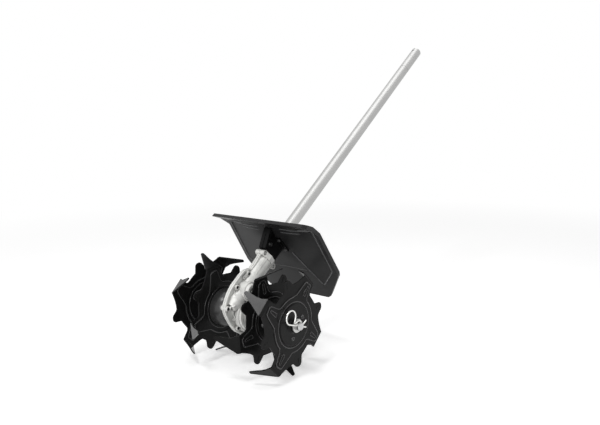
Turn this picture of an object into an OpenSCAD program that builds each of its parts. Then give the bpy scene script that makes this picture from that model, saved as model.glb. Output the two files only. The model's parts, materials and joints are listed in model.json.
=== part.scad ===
// Cultivator attachment for a garden pole tool: a tube with a drive shaft inside, a two-part
// gear case with a worm and wheel, a cross axle with four stamped tine discs, and a guard.
// Millimetres. The origin is on the tube's axis, in the middle of the stretch that goes into
// the power head's coupler. X runs along the axle, Y towards the user and Z up.

/* [Shaft] */
// Angle of the shaft above the ground
shaft_angle = 37.3; // [30:0.5:45]
// Outside diameter of the shaft tube
tube_d = 25.4; // [24.4:0.2:26.4]
// Wall of the shaft tube
tube_wall = 1.6; // [1.2:0.1:2.2]
// Length of the shaft tube
tube_length = 820; // [600:1:1000]
// Stretch of the tube that the coupler takes
coupling_length = 85; // [60:1:110]
// Diameter of the hole for the coupler's locking button
button_hole_d = 7; // [5:0.5:9]
// Distance of that hole from the tube's end
button_hole_from_end = 13; // [9:1:20]
// Diameter of the drive shaft inside the tube
drive_shaft_d = 8; // [7:0.5:9.5]
// Width across the flats of the drive shaft's square ends
drive_square = 5.6; // [4.8:0.1:6]
// Depth of the drive shaft's end inside the tube
drive_recess = 14; // [13:1:20]
// Number of bushes that hold the drive shaft in the tube
bush_count = 4; // [2:1:6]

/* [Gears] */
// Module of the worm and its wheel
gear_module = 1.75; // [1.65:0.05:1.8]
// Number of teeth on the worm wheel
wheel_teeth = 36; // [34:2:36]
// Distance from the axle to the tube's axis
centre_distance = 43.35; // [43:0.05:44]
// Width of the worm wheel
wheel_width = 14; // [11:0.5:15]
// Length of the threaded part of the worm
worm_length = 24; // [20:1:25]
// Gap left on each flank of the mesh
flank_gap = 0.6; // [0.55:0.05:0.7]

/* [Axle] */
// Diameter of the axle
axle_d = 16; // [14:0.5:17]
// Length of the axle
axle_length = 282; // [276:1:300]
// Width across the two flats that drive the hubs
axle_flats = 13; // [12:0.1:13.6]

/* [Gear case] */
// Wall of the gear case round its chambers
case_wall = 3.3; // [2.8:0.1:4]
// Width of the raised rim on the parting line
rim_width = 3.5; // [2.5:0.5:5]
// Height of the rim on each half
rim_height = 4.2; // [3.6:0.2:6]
// Thickness of the web inside the rim
web_thickness = 2.6; // [2:0.2:3.2]
// Thickness of the gasket between the halves
gasket_thickness = 0.5; // [0.3:0.1:1]
// Diameter of the case screws
case_screw_d = 4; // [3.5:0.5:4.5]
// Diameter of the two screws that clamp the tube
clamp_screw_d = 5; // [4:0.5:5.5]

/* [Tines] */
// Distance from an outer disc to its end of the axle
outer_disc_inset = 21; // [20:0.5:24]
// Distance between the two inner discs
inner_spacing = 129.2; // [126:1:132]
// Thickness of the tine steel
tine_thickness = 2.5; // [2:0.1:3]
// Radius of the arms at their fold
fold_radius = 91.5; // [86:0.5:96]
// Width of an arm at its fold
fold_width = 34; // [28:1:36]
// Angle that a blade is bent out of its disc
blade_bend = 66; // [55:1:75]
// Length of a blade from its fold
blade_length = 48; // [36:1:49]
// Radius of the small teeth between the arms
tooth_radius = 88.8; // [84:0.2:92]
// Radius of the raised dish in each disc
dish_radius = 53.4; // [48:0.2:56]
// Height of the stamped dish and ribs
emboss = 1; // [0.6:0.1:1.4]
// Turn of the outer discs' first arm from upright
outer_turn = 32.8; // [20:0.2:40]
// Turn of the inner discs' first arm from upright
inner_turn = -17.7; // [-25:0.1:-10]

/* [Hubs] */
// Radius of the hub flanges
hub_flange_r = 40; // [36:0.5:42]
// Outside radius of the hub sleeves
hub_sleeve_r = 13; // [12:0.5:14]
// Radius of the circle of rivets
rivet_circle_r = 26; // [22:0.5:30]
// Wire diameter of the hitch pins
wire_d = 3.2; // [2.6:0.1:3.6]

/* [Guard] */
// Half of the guard's width
guard_half_width = 126; // [120:0.5:130]
// Thickness of the guard's plastic
guard_thickness = 2.6; // [2.2:0.1:3.2]
// Height of the turned edge behind the guard
guard_edge = 6; // [4:0.5:9]
// Place of the guard's rim along the shaft, from the axle
guard_rim_s = 155; // [153:0.5:162]
// Outside radius of the guard's clamp round the tube
bracket_r = 17.5; // [16.5:0.5:18.5]

/* [Hidden] */
$fn = 64;

// Clearances
eps = 0.01;
running_gap = 0.05;
slip_gap = 0.1;
seat_gap = 0.02;

// Shaft
tube_r = tube_d / 2;
tube_bore_r = tube_r - tube_wall;
tube_foot = 62;
tube_top = tube_foot + tube_length;
mark_depth = 0.3;
mark_width = 2;
drive_r = drive_shaft_d / 2;
drive_foot = 66;
drive_top = tube_top - drive_recess;
square_length = 22;
bush_length = 18;
bush_first = tube_foot + 118;
bush_last = tube_top - 60;

// Gears
wheel_pitch_r = gear_module * wheel_teeth / 2;
worm_pitch_r = centre_distance - wheel_pitch_r;
worm_lead = PI * gear_module;
addendum = 0.86 * gear_module;
dedendum = 1.11 * gear_module;
pressure_angle = 20;
half_tooth = worm_lead / 4 - flank_gap / 2;
lead_angle = atan(worm_lead / (2 * PI * worm_pitch_r));
wheel_twist = wheel_width * tan(lead_angle) / wheel_pitch_r * 180 / PI;
worm_root_r = worm_pitch_r - dedendum;
worm_tip_r = worm_pitch_r + addendum;
wheel_tip_r = wheel_pitch_r + addendum;
wheel_hub_r = 14;
wheel_rim_r = wheel_pitch_r - dedendum - 3.5;
wheel_web = 6;
key_width = 5;
key_height = 5;
key_length = wheel_width - 2;
key_seat = 2.5;

// Worm shaft bearings, each as [foot, bore radius, outside radius, width, ball radius]
bearing_wall = 2.5;
tail_bearing = [-worm_length / 2 - 8.5, 5, 9.5, 5, 1.2];
head_bearing = [42, 6, 14, 8, 2.4];
bearings = [tail_bearing, head_bearing];
ball_count = 8;
journal_r = head_bearing[1];
seal_foot = head_bearing[0] + head_bearing[3] + 1.2;
seal_r = head_bearing[2];
seal_width = 6;
worm_shaft_top = 80;
socket_depth = worm_shaft_top - drive_foot + 2;

// Axle
axle_r = axle_d / 2;
axle_half = axle_length / 2;
axle_dome = 2;
flat_from = 30;
washer_thickness = 2;
chamber_half = wheel_width / 2 + washer_thickness + 0.4;
axle_bush_r = axle_r + 3;
axle_bush_length = 10;
axle_bush_from = chamber_half + 0.1;
axle_bush_to = axle_bush_from + axle_bush_length;
axle_seal_r = axle_r + 5;
axle_seal_from = axle_bush_to + 0.3;
axle_seal_width = 6;
axle_boss_r = axle_seal_r + 4;
axle_boss_to = axle_seal_from + axle_seal_width;

// Gear case
chamber_r = wheel_tip_r + 0.8;
case_chamber_r = chamber_r + case_wall;
case_face_x = chamber_half + case_wall;
ring_r = case_chamber_r - 3.6;
ring_height = 4;
worm_chamber_r = worm_tip_r + 0.6;
worm_chamber_foot = -worm_length / 2 - 1.5;
worm_house_r = max(head_bearing[2], worm_chamber_r) + case_wall;
tail_house_r = tail_bearing[2] + bearing_wall;
tail_house_foot = tail_bearing[0] - bearing_wall;
neck_r = tube_r + case_wall;
neck_from = 56;
neck_top = 111.5;
neck_flange_half = 4;
neck_rib_turn = 38;
clamp_boss_r = clamp_screw_d / 2 + 3.2;
clamp_s = neck_top - clamp_boss_r - 0.4;
clamp_screw_n = tube_r + clamp_screw_d / 2 + 5;
clamp_half = 11;
clamp_crown = tube_r + 4.9;
clamp_head_r = clamp_screw_d * 0.8;
screw_boss_r = case_screw_d / 2 + 3.2;
screw_boss_height = 8.3;
screw_head_depth = 3.2;
screw_head_r = case_screw_d * 0.8;
sunk_depth = 4.5;
plug_s = 22;
plug_r = 10;
plug_boss_r = 19.1;
plug_boss_height = worm_house_r + 3;
plug_ring_r = 16.2;
plug_ring_top_r = 14.8;
plug_ring_height = 7.3;
plug_top = plug_boss_height + plug_ring_height;
plug_sink = 1.2;
plug_length = plug_top - plug_sink - worm_chamber_r - 1.5;
hex_depth = 6;
half_gasket = gasket_thickness / 2;

// Places of the case screws, as [n, s]
case_screw_places = [[-62.3, 49.1], [-65.4, 10.9], [-51.5, -32], [0, -38.2], [29, -28.5], [35, 30],
    [-15.4, 47.5]];

// Outline of the case on the parting plane, as [n, s], from the neck round by the front
case_corners = [[-59, 63], [-69.5, 53], [-73.8, 43], [-74.2, 25], [-73.8, 7], [-70.5, -8], [-64, -23],
    [-57.5, -33.5], [-46.3, -40.6], [-26, -44.2], [-5, -45.2], [8, -43.4], [18, -39.2], [29, -35.5],
    [37.5, -27], [43, -15], [46, -2], [46.5, 10], [44, 25], [38.5, 37], [23.4, 41.7], [5.3, 47.7],
    [-8.8, 55.8], [-22, 63]];

// Tine discs
outer_x = axle_half - outer_disc_inset;
inner_x = inner_spacing / 2;
half_tine = tine_thickness / 2;
disc_bore_r = hub_sleeve_r + 0.05;
fold_tilt = 12;
bend_r = 4;
bend_mid_r = bend_r + half_tine;
bend_back = bend_mid_r * tan(blade_bend / 2);
half_fold = fold_width / 2;
notch_r = 67.5;
arm_back_r = 77;
tooth_half = 4.6;

// Hubs
hub_flange_t = 2;
hub_from_disc = half_tine + emboss;
inner_hub_from = axle_boss_to + 1.5;
hub_joint = (inner_x + outer_x) / 2;
outer_hub_to = axle_half - 12;
cup_sheet = 1.5;
cup_depth = 33;
cup_mouth_r = axle_boss_r + 3;
rivet_r = 2.5;
rivet_head_r = 4.4;
rivet_head_h = 1.4;
rivet_hole_r = 1.6;
end_washer_r = 13;
end_washer_t = 2.4;
wire_r = wire_d / 2;
clip_x = outer_hub_to + end_washer_t + 0.4 + wire_r;
clip_tilt = 18.9;
clip_loop_r = 13;
clip_loop_at = 27;
clip_point = 24;

// Guard, in the case's plane coordinates
rim_front = guard_rim_s;
face_s = guard_rim_s - 6;
wing_s = guard_rim_s + 1.5;
low_s = guard_rim_s - 5;
bottom_s = guard_rim_s - 14;
fold_s = guard_rim_s - 2;
visor_s = guard_rim_s - 27;
fold_n = -95;
visor_n = -129;
face_n = -27;
face_half = 31.5;
pad_n = -66;
pad_half = 24;
step_n = 20;
bottom_n = 100;
bottom_half = 82;
side_low_n = 31;
band = 5;
band_in = 20;
guard_hole_r = tube_r + 1;

// Guard bracket
bracket_foot = 113;
bracket_top = face_s;
collar_r = bracket_r + 2.5;
collar_t = 5;
ear_half = 9;
ear_slit = 1.2;
bracket_bolt_d = 6;
bracket_bolt_n = -65.5;
bracket_bolt_s = 128;
flange_t = 3.5;
flange_corners = [[26, -28], [26, -42], [22, -64], [-22, -64], [-26, -42], [-26, -28]];
guard_screw_d = 4;
guard_screws_at = [[-22, -33], [22, -33], [-17.5, -59.5], [17.5, -59.5]];

// Frames. The case frame has its origin at the axle's centre, x along the axle, y across the
// shaft (n, away from the tube) and z along the shaft (s). The row's origin is on the tube.
function from_case(x, n, s) = [x, s * cos(shaft_angle) + n * sin(shaft_angle), s * sin(shaft_angle)
    - n * cos(shaft_angle)];
shaft_origin = from_case(0, -centre_distance, tube_top - coupling_length / 2);

module axle_frame() translate(-shaft_origin) children();
module case_frame() axle_frame() rotate([shaft_angle - 90, 0, 0]) children();
module tube_frame() case_frame() translate([0, -centre_distance, 0]) children();

// A slab on the case's plane, from x0 to x1, of a shape drawn as [n, s]
module slab(x0, x1) rotate([90, 0, 90]) translate([0, 0, x0]) linear_extrude(x1 - x0) children();
// A solid of revolution about x, of a profile drawn as [r, x]
module turned() rotate([90, 0, 90]) rotate_extrude() children();
module x_cylinder(n, s, r, x0, x1) translate([x0, n, s]) rotate([0, 90, 0]) cylinder(r = r, h = x1 - x0);
module both_sides() {
    children();
    mirror([1, 0, 0]) children();
}

// Closed smooth curve through the points, with m pieces between neighbours
function blend(a, b, c, d, t) = 0.5 * (2 * b + (c - a) * t + (2 * a - 5 * b + 4 * c - d) * t * t
    + (3 * b - a - 3 * c + d) * t * t * t);
function smooth_loop(p, m) = let (k = len(p)) [for (i = [0 : k - 1]) for (j = [0 : m - 1])
    blend(p[(i + k - 1) % k], p[i], p[(i + 1) % k], p[(i + 2) % k], j / m)];
// The same curve moved inwards by d
function inset_loop(p, d) = let (k = len(p)) [for (i = [0 : k - 1])
    let (t = p[(i + 1) % k] - p[(i + k - 1) % k], u = t / norm(t)) p[i] + d * [-u.y, u.x]];
function polar(r, a) = [r * cos(a), r * sin(a)];

// Shaft

module shaft_tube() {
    color("silver") tube_frame() difference() {
        translate([0, 0, tube_foot]) cylinder(r = tube_r, h = tube_length);
        translate([0, 0, tube_foot - 1]) cylinder(r = tube_bore_r, h = tube_length + 2);
        translate([0, 0, tube_top - coupling_length - mark_width]) depth_mark();
        translate([0, 0, tube_top - button_hole_from_end]) rotate([90, 0, 0])
            cylinder(d = button_hole_d, h = tube_d);
    }
}

// Shallow ring that shows how far the tube goes into the coupler
module depth_mark() difference() {
    cylinder(r = tube_r + 1, h = mark_width);
    translate([0, 0, -1]) cylinder(r = tube_r - mark_depth, h = mark_width + 2);
}

module drive_shaft() {
    square_z = [drive_foot, drive_top - square_length];
    color("dimgray") tube_frame() {
        translate([0, 0, drive_foot + square_length]) cylinder(r = drive_r, h = drive_top - drive_foot
            - 2 * square_length);
        for (z = square_z) translate([-drive_square / 2, -drive_square / 2, z - (z == drive_foot ? 0 : eps)])
            cube([drive_square, drive_square, square_length + eps]);
    }
}

// Waisted plastic bushes between the drive shaft and the tube
module drive_shaft_bushes() {
    waist = tube_bore_r - 2;
    color("ivory") tube_frame() for (i = [0 : bush_count - 1])
        translate([0, 0, bush_first + (bush_last - bush_first) * i / (bush_count - 1)]) rotate_extrude()
            polygon([[drive_r + running_gap, 0], [tube_bore_r - seat_gap, 0],
                [tube_bore_r - seat_gap, 5], [waist, 6],
                [waist, bush_length - 6], [tube_bore_r - seat_gap, bush_length - 5],
                    [tube_bore_r - seat_gap, bush_length],
                [drive_r + running_gap, bush_length]]);
}

// Gear case

case_outline = smooth_loop(case_corners, 3);
case_pocket = inset_loop(case_outline, rim_width);

// A raised rib on the web, from a to b, up to x
module web_rib(a, b, w, x) {
    d = b - a;
    slab(0, x)
        translate(a)
        rotate(atan2(d.y, d.x))
        translate([0, -w / 2])
        square([norm(d), w]);
}

module case_screw_bosses() {
    for (p = case_screw_places)
        x_cylinder(p.x, p.y, screw_boss_r, 0, screw_boss_height);
}

// Ribs that tie the screw bosses to the chambers, and two that only stiffen the web
module case_ribs() {
    low = screw_boss_height - 1.5;
    web_rib([-65, 34], case_screw_places[0], 6, low);
    web_rib(case_screw_places[1], [-50, 0], 4, low);
    web_rib(case_screw_places[2], [-44, -14], 4.5, low + 0.7);
    web_rib(case_screw_places[3], [2, -28], 4, low);
    web_rib([-21, -34], [-30, -15], 3, rim_height + 1);
    x_cylinder(-21, -34, 3.2, 0, rim_height + 2);
    web_rib(case_screw_places[4], [15, -15], 4, low);
    web_rib(case_screw_places[5], [20, 17], 4, low);
    web_rib(case_screw_places[6], [-20, 20], 4, low);
}

// Wheel chamber with a raised ring, and the boss of the axle
module wheel_drum() {
    boss_root = axle_boss_r + 1.5;
    ring_x = case_face_x + ring_height;
    turned() polygon([[0, 0], [case_chamber_r, 0], [case_chamber_r, case_face_x - 2],
        [case_chamber_r - 2, case_face_x], [ring_r, case_face_x], [ring_r - 0.6, ring_x - 0.8],
        [ring_r - 1.4, ring_x], [ring_r - 6, ring_x], [ring_r - 7, ring_x - 1.5], [boss_root, ring_x - 1.5],
        [axle_boss_r, ring_x], [axle_boss_r, axle_boss_to - 1], [axle_boss_r - 1, axle_boss_to],
        [0, axle_boss_to]]);
}

// Housing of the worm and neck of the tube, about the tube's axis
module worm_housing() {
    cone_top = worm_chamber_foot + 5;
    translate([0, 0, cone_top])
        cylinder(r = worm_house_r, h = neck_from + 2 - cone_top);
    translate([0, 0, tail_house_foot])
        cylinder(r1 = tail_house_r, r2 = worm_house_r, h = cone_top - tail_house_foot + eps);
    translate([0, 0, neck_from])
        cylinder(r = neck_r, h = neck_top - neck_from);
    for (a = [-neck_rib_turn, neck_rib_turn])
        rotate([0, 0, a])
        translate([neck_r - 2, -1.6, neck_from])
        cube([3.6, 3.2, clamp_s - neck_from]);
}

// Flanges of the neck, wider towards the clamp
module neck_flange() {
    side = neck_r + 1.6;
    foot = clamp_s - clamp_boss_r;
    slab(0, neck_flange_half)
        translate([-centre_distance, 0])
        polygon([[-side, neck_from - 4], [-side - 0.6, foot - 23], [-clamp_screw_n - 2, foot],
        [clamp_screw_n + 2, foot], [side + 1.4, foot - 26], [side - 1, neck_from - 4]]);
}

// Lugs of the tube clamp and the band that joins them over the tube
module clamp_band() {
    flat = clamp_crown / 3;
    for (side = [-1, 1])
        x_cylinder(side * clamp_screw_n - centre_distance, clamp_s, clamp_boss_r, 0, clamp_half);
    translate([0, -centre_distance, clamp_s - clamp_boss_r + 0.6])
        linear_extrude(neck_top - clamp_s + clamp_boss_r - 0.6)
        polygon([[0, -clamp_screw_n], [clamp_half, -clamp_screw_n], [clamp_half, -clamp_crown],
        [clamp_crown, -flat], [clamp_crown, flat], [clamp_half, clamp_crown], [clamp_half, clamp_screw_n],
        [0, clamp_screw_n]]);
}

// The +X half's outside, standing on the parting plane
module case_outside() {
    difference() {
        slab(0, rim_height) polygon(case_outline);
        slab(web_thickness, rim_height + 1) polygon(case_pocket);
    }
    wheel_drum();
    translate([0, -centre_distance, 0]) worm_housing();
    neck_flange();
    clamp_band();
    case_screw_bosses();
    case_ribs();
}

module plug_boss() {
    edge = plug_boss_height - 1.5;
    translate([0, -centre_distance, plug_s])
        turned()
        polygon([[0, 0], [plug_boss_r, 0], [plug_boss_r, edge], [plug_boss_r - 1.5, plug_boss_height],
        [plug_ring_r, plug_boss_height], [plug_ring_top_r + 0.6, plug_top - 0.8],
            [plug_ring_top_r - 0.2, plug_top],
        [0, plug_top]]);
}

// Seat of a bearing in the case
module bearing_seat(b) {
    translate([0, 0, b[0] - seat_gap])
        cylinder(r = b[2] + seat_gap, h = b[3] + 2 * seat_gap);
}

// Everything that is hollow in the closed case
module case_hollows() {
    tail = tail_bearing[0];
    head = head_bearing[0];
    translate([-chamber_half, 0, 0])
        rotate([0, 90, 0])
        cylinder(r = chamber_r, h = 2 * chamber_half);
    x_cylinder(0, 0, axle_bush_r + seat_gap, -axle_bush_to - eps, axle_bush_to + eps);
    x_cylinder(0, 0, axle_r + 1, -axle_boss_to - 1, axle_boss_to + 1);
    x_cylinder(0, 0, axle_seal_r + seat_gap, axle_seal_from - 0.2, axle_boss_to + 1);
    x_cylinder(0, 0, axle_seal_r + seat_gap, -axle_boss_to - 1, -axle_seal_from + 0.2);
    translate([0, -centre_distance, 0]) {
        translate([0, 0, worm_chamber_foot])
            cylinder(r = worm_chamber_r, h = head - 2 - worm_chamber_foot);
        translate([0, 0, tail - 0.8])
            cylinder(r = tail_bearing[2] - 2, h = worm_chamber_foot - tail + 1.8);
        translate([0, 0, head - 3])
            cylinder(r = head_bearing[2] - 3, h = seal_foot - head + 4);
        bearing_seat(tail_bearing);
        bearing_seat(head_bearing);
        translate([0, 0, seal_foot - 0.05])
            cylinder(r = seal_r + seat_gap, h = seal_width + 0.1);
        translate([0, 0, seal_foot])
            cylinder(r = tube_bore_r - 1.6, h = tube_foot);
        translate([0, 0, tube_foot - 0.1])
            cylinder(r = tube_r + seat_gap, h = neck_top);
    }
}

module case_screw_holes(r) {
    for (p = case_screw_places)
        x_cylinder(p.x, p.y, r, -screw_boss_height - 1, screw_boss_height + 1);
}

module case_screw_sinks() {
    for (p = case_screw_places)
        x_cylinder(p.x, p.y, screw_head_r + 0.3, screw_boss_height - sunk_depth, screw_boss_height + 8);
}

module clamp_screw_holes(r) {
    for (side = [-1, 1])
        x_cylinder(side * clamp_screw_n - centre_distance, clamp_s, r, -clamp_half - 1, clamp_half + 1);
}

module clamp_screw_sinks() {
    for (side = [-1, 1])
        x_cylinder(side * clamp_screw_n - centre_distance, clamp_s, clamp_head_r + 0.3, clamp_half
            - sunk_depth,
            clamp_half + 8);
}

module gear_case_right() {
    color("gainsboro") case_frame() intersection() {
        difference() {
            union() {
                case_outside();
                plug_boss();
            }
            case_hollows();
            case_screw_holes(case_screw_d / 2 + slip_gap);
            case_screw_sinks();
            clamp_screw_holes(clamp_screw_d / 2 + slip_gap);
            clamp_screw_sinks();
            x_cylinder(-centre_distance, plug_s, plug_r + running_gap, 0, plug_top + 1);
        }
        translate([half_gasket, -tube_length, -tube_length]) cube(2 * tube_length);
    }
}

// The -X half has no plug, and its holes take the screws' threads
module gear_case_left() {
    color("gainsboro") case_frame() intersection() {
        difference() {
            mirror([1, 0, 0]) case_outside();
            case_hollows();
            case_screw_holes(case_screw_d / 2 + running_gap);
            clamp_screw_holes(clamp_screw_d / 2 + running_gap);
        }
        translate([-2 * tube_length - half_gasket, -tube_length, -tube_length]) cube(2 * tube_length);
    }
}

module case_gasket() {
    gap = 0.3;
    color("darkgreen") case_frame() difference() {
        slab(-half_gasket, half_gasket) polygon(case_outline);
        slab(-1, 1) translate([-centre_distance - tube_r, tube_foot - 4]) square([2 * tube_r, 20]);
        case_hollows();
        case_screw_holes(case_screw_d / 2 + gap);
    }
}

// Pan-head screw along x with its head's seat at x = 0
module x_screw(d, length, head_r, head_h) {
    rotate([0, -90, 0]) cylinder(d = d, h = length);
    difference() {
        rotate([0, 90, 0]) cylinder(r1 = head_r, r2 = head_r - 0.8, h = head_h);
        translate([head_h - 1.6, 0, 0]) rotate([90, 0, 90]) cylinder(r = d * 0.42, h = 3, $fn = 6);
    }
}

module case_screws() {
    color("dimgray") case_frame()
        for (p = case_screw_places)
        translate([screw_boss_height - sunk_depth, p.x, p.y])
        x_screw(case_screw_d, 2 * screw_boss_height - sunk_depth - 2, screw_head_r, screw_head_depth);
}

module tube_clamp_screws() {
    color("dimgray") case_frame()
        for (side = [-1, 1])
        translate([clamp_half - sunk_depth, side * clamp_screw_n - centre_distance, clamp_s])
        x_screw(clamp_screw_d, 2 * clamp_half - sunk_depth - 2, clamp_head_r, screw_head_depth);
}

module grease_plug() {
    top = plug_top - plug_sink;
    color("silver") case_frame() difference() {
        x_cylinder(-centre_distance, plug_s, plug_r, top - plug_length, top);
        translate([top - hex_depth, -centre_distance, plug_s])
            rotate([90, 0, 90])
            cylinder(r = plug_r * 0.6, h = hex_depth + 1, $fn = 6);
    }
}

// Worm drive

// Half width of a tooth at height h above the pitch line
function half_width(h) = half_tooth - h * tan(pressure_angle);

// The thread is a trapezoid ridge carried round the core, fading out at both ends
module worm_thread() {
    steps_per_turn = 24;
    steps = round((worm_length - 2) / worm_lead * steps_per_turn);
    base = worm_root_r - 0.3;
    fade = 8;
    function ridge(i) = let (a = 360 * (i - steps / 2) / steps_per_turn, z = worm_lead * (a / 360 + 0.5),
        f = min(1, (i + 0.5) / fade, (steps - i + 0.5) / fade), tip = base + (worm_tip_r - base) * f,
        wb = half_width(-dedendum - 0.3), wt = half_width(addendum * f))
        [for (q = [[base, -wb], [tip, -wt], [tip, wt], [base, wb]]) [-q.x * sin(a), q.x * cos(a), z + q.y]];
    points = [for (i = [0 : steps]) each ridge(i)];
    sides = [for (i = [0 : steps - 1]) for (j = [0 : 3])
        let (a = 4 * i + j, b = 4 * i + (j + 1) % 4) each [[a, b, b + 4], [a, b + 4, a + 4]]];
    polyhedron(points, concat(sides, [[3, 2, 1, 0], [for (j = [0 : 3]) 4 * steps + j]]));
}

module worm() {
    foot = tail_bearing[0] - 0.5;
    shoulder = tail_bearing[0] + tail_bearing[3];
    head = head_bearing[0];
    socket = drive_square + 2 * slip_gap;
    color("slategray") tube_frame() difference() {
        union() {
            translate([0, 0, -worm_length / 2]) cylinder(r = worm_root_r, h = worm_length);
            worm_thread();
            translate([0, 0, foot]) cylinder(r = tail_bearing[1], h = shoulder - foot + 1);
            translate([0, 0, shoulder + running_gap]) cylinder(r = journal_r, h = worm_shaft_top
                - shoulder - 1);
            translate([0, 0, worm_length / 2 - 1])
                cylinder(r = journal_r + 1.8, h = head - worm_length / 2 + 1 - running_gap);
            translate([0, 0, tube_foot + 1])
                cylinder(r = journal_r + 1, h = worm_shaft_top - tube_foot - 1);
        }
        translate([-socket / 2, -socket / 2, worm_shaft_top - socket_depth])
            cube([socket, socket, socket_depth + 1]);
    }
}

// Middle radius of a bearing, and the radius of the ball's track
function track_r(b) = (b[1] + b[2]) / 2;

// The outer ring when side is 1, the inner ring when it is -1
module bearing_ring(b, side) {
    land = b[4] * 0.6;
    translate([0, 0, b[0]]) rotate_extrude() difference() {
        if (side > 0)
            translate([track_r(b) + land, 0]) square([b[2] - track_r(b) - land, b[3]]);
        else
            translate([b[1] + seat_gap, 0]) square([track_r(b) - land - b[1] - seat_gap, b[3]]);
        translate([track_r(b), b[3] / 2]) circle(r = b[4] + running_gap);
    }
}

module worm_bearing_outer_rings() {
    color("silver") tube_frame()
        for (b = bearings)
        bearing_ring(b, 1);
}

module worm_bearing_inner_rings() {
    color("silver") tube_frame()
        for (b = bearings)
        bearing_ring(b, -1);
}

module worm_bearing_balls() {
    color("white") tube_frame()
        for (b = bearings)
        for (i = [0 : ball_count - 1])
        rotate([0, 0, 360 * i / ball_count])
        translate([track_r(b), 0, b[0] + b[3] / 2])
        sphere(r = b[4], $fn = 24);
}

module worm_shaft_seal() {
    lip = journal_r + running_gap;
    lip_foot = seal_width - 2.5;
    color("black") tube_frame() translate([0, 0, seal_foot]) rotate_extrude()
        polygon([[seal_r, 0], [seal_r, seal_width], [journal_r + 0.6, seal_width], [lip, seal_width - 1.5],
        [lip, lip_foot], [journal_r + 2.5, lip_foot - 1], [seal_r - 2, lip_foot - 1], [seal_r - 2, 0]]);
}

// Tooth flanks fall off faster near the tip and the root, as an involute does
module wheel_teeth_2d() {
    heights = [-dedendum, -dedendum / 2, 0, addendum];
    function flank(h, side) = let (r = wheel_pitch_r + h, relief =
        h * h / (3 * wheel_pitch_r * sin(pressure_angle)))
        [r, side * (half_width(h) - relief) / r * 180 / PI];
    polygon([for (i = [0 : wheel_teeth - 1]) let (a = 180 + 360 * i / wheel_teeth)
        each concat([for (h = heights) let (q = flank(h, -1)) polar(q.x, a + q.y)],
            [for (j = [3 : -1 : 0]) let (q = flank(heights[j], 1)) polar(q.x, a + q.y)])]);
}

module worm_wheel() {
    recess = (wheel_width - wheel_web) / 2;
    color("peru") case_frame() difference() {
        rotate([90, 0, 90]) linear_extrude(wheel_width, twist = -wheel_twist, center = true, slices = 2)
            wheel_teeth_2d();
        for (side = [-1, 1]) translate([side * (wheel_web / 2 + recess / 2 + 0.5), 0, 0])
            rotate([0, 90, 0]) difference() {
            cylinder(r = wheel_rim_r, h = recess + 1, center = true);
            cylinder(r = wheel_hub_r, h = recess + 2, center = true);
        }
        x_cylinder(0, 0, axle_r + seat_gap, -wheel_width, wheel_width);
        translate([-wheel_width, -key_width / 2 - seat_gap, 0])
            cube([2 * wheel_width, key_width + 2 * seat_gap, axle_r + key_height - key_seat + 0.1]);
    }
}

module axle_key() {
    color("slategray") case_frame() translate([-key_length / 2, -key_width / 2, axle_r - key_seat])
        cube([key_length, key_width, key_height]);
}

module thrust_washers() {
    color("goldenrod") axle_frame() both_sides() translate([wheel_width / 2 + 0.15, 0, 0])
        rotate([0, 90, 0]) difference() {
        cylinder(r = wheel_hub_r, h = washer_thickness);
        translate([0, 0, -1]) cylinder(r = axle_r + running_gap, h = washer_thickness + 2);
    }
}

// Axle, seen with its flats lying along Y
module flats(gap) for (side = [-1, 1]) translate([flat_from, -axle_r - 1, side > 0 ? axle_flats / 2
    + gap : -axle_r - 1])
    cube([axle_half, axle_d + 2, axle_r + 1 - axle_flats / 2 - gap]);

module axle() {
    color("silver") axle_frame() difference() {
        turned() polygon([[0, -axle_half], [axle_r - axle_dome, -axle_half],
            [axle_r, -axle_half + axle_dome],
            [axle_r, axle_half - axle_dome], [axle_r - axle_dome, axle_half], [0, axle_half]]);
        both_sides() flats(0);
        both_sides() translate([clip_x, 0, 0]) rotate([90 - clip_tilt, 0, 0])
            cylinder(r = wire_r + slip_gap, h = 2 * axle_d, center = true);
        rotate([shaft_angle - 90, 0, 0]) translate([-key_length / 2 - seat_gap, -key_width / 2
            - seat_gap, axle_r - key_seat - seat_gap])
            cube([key_length + 2 * seat_gap, key_width + 2 * seat_gap, key_height]);
    }
}

module axle_bush() axle_frame() turned() polygon([[axle_r + running_gap, axle_bush_from],
    [axle_bush_r, axle_bush_from],
    [axle_bush_r, axle_bush_to], [axle_r + running_gap, axle_bush_to]]);
module axle_bush_right() color("goldenrod") axle_bush();
module axle_bush_left() color("goldenrod") mirror([1, 0, 0]) axle_bush();

module oil_seal() axle_frame() turned() polygon([[axle_seal_r, axle_seal_from],
    [axle_seal_r, axle_boss_to], [axle_r + 0.6, axle_boss_to],
    [axle_r + running_gap, axle_boss_to - 1.5], [axle_r + running_gap, axle_boss_to - 2.5],
        [axle_r + 2, axle_boss_to - 3.5],
    [axle_seal_r - 1.5, axle_boss_to - 3.5], [axle_seal_r - 1.5, axle_seal_from]]);
module oil_seal_right() color("black") oil_seal();
module oil_seal_left() color("black") mirror([1, 0, 0]) oil_seal();

// Tines

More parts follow.
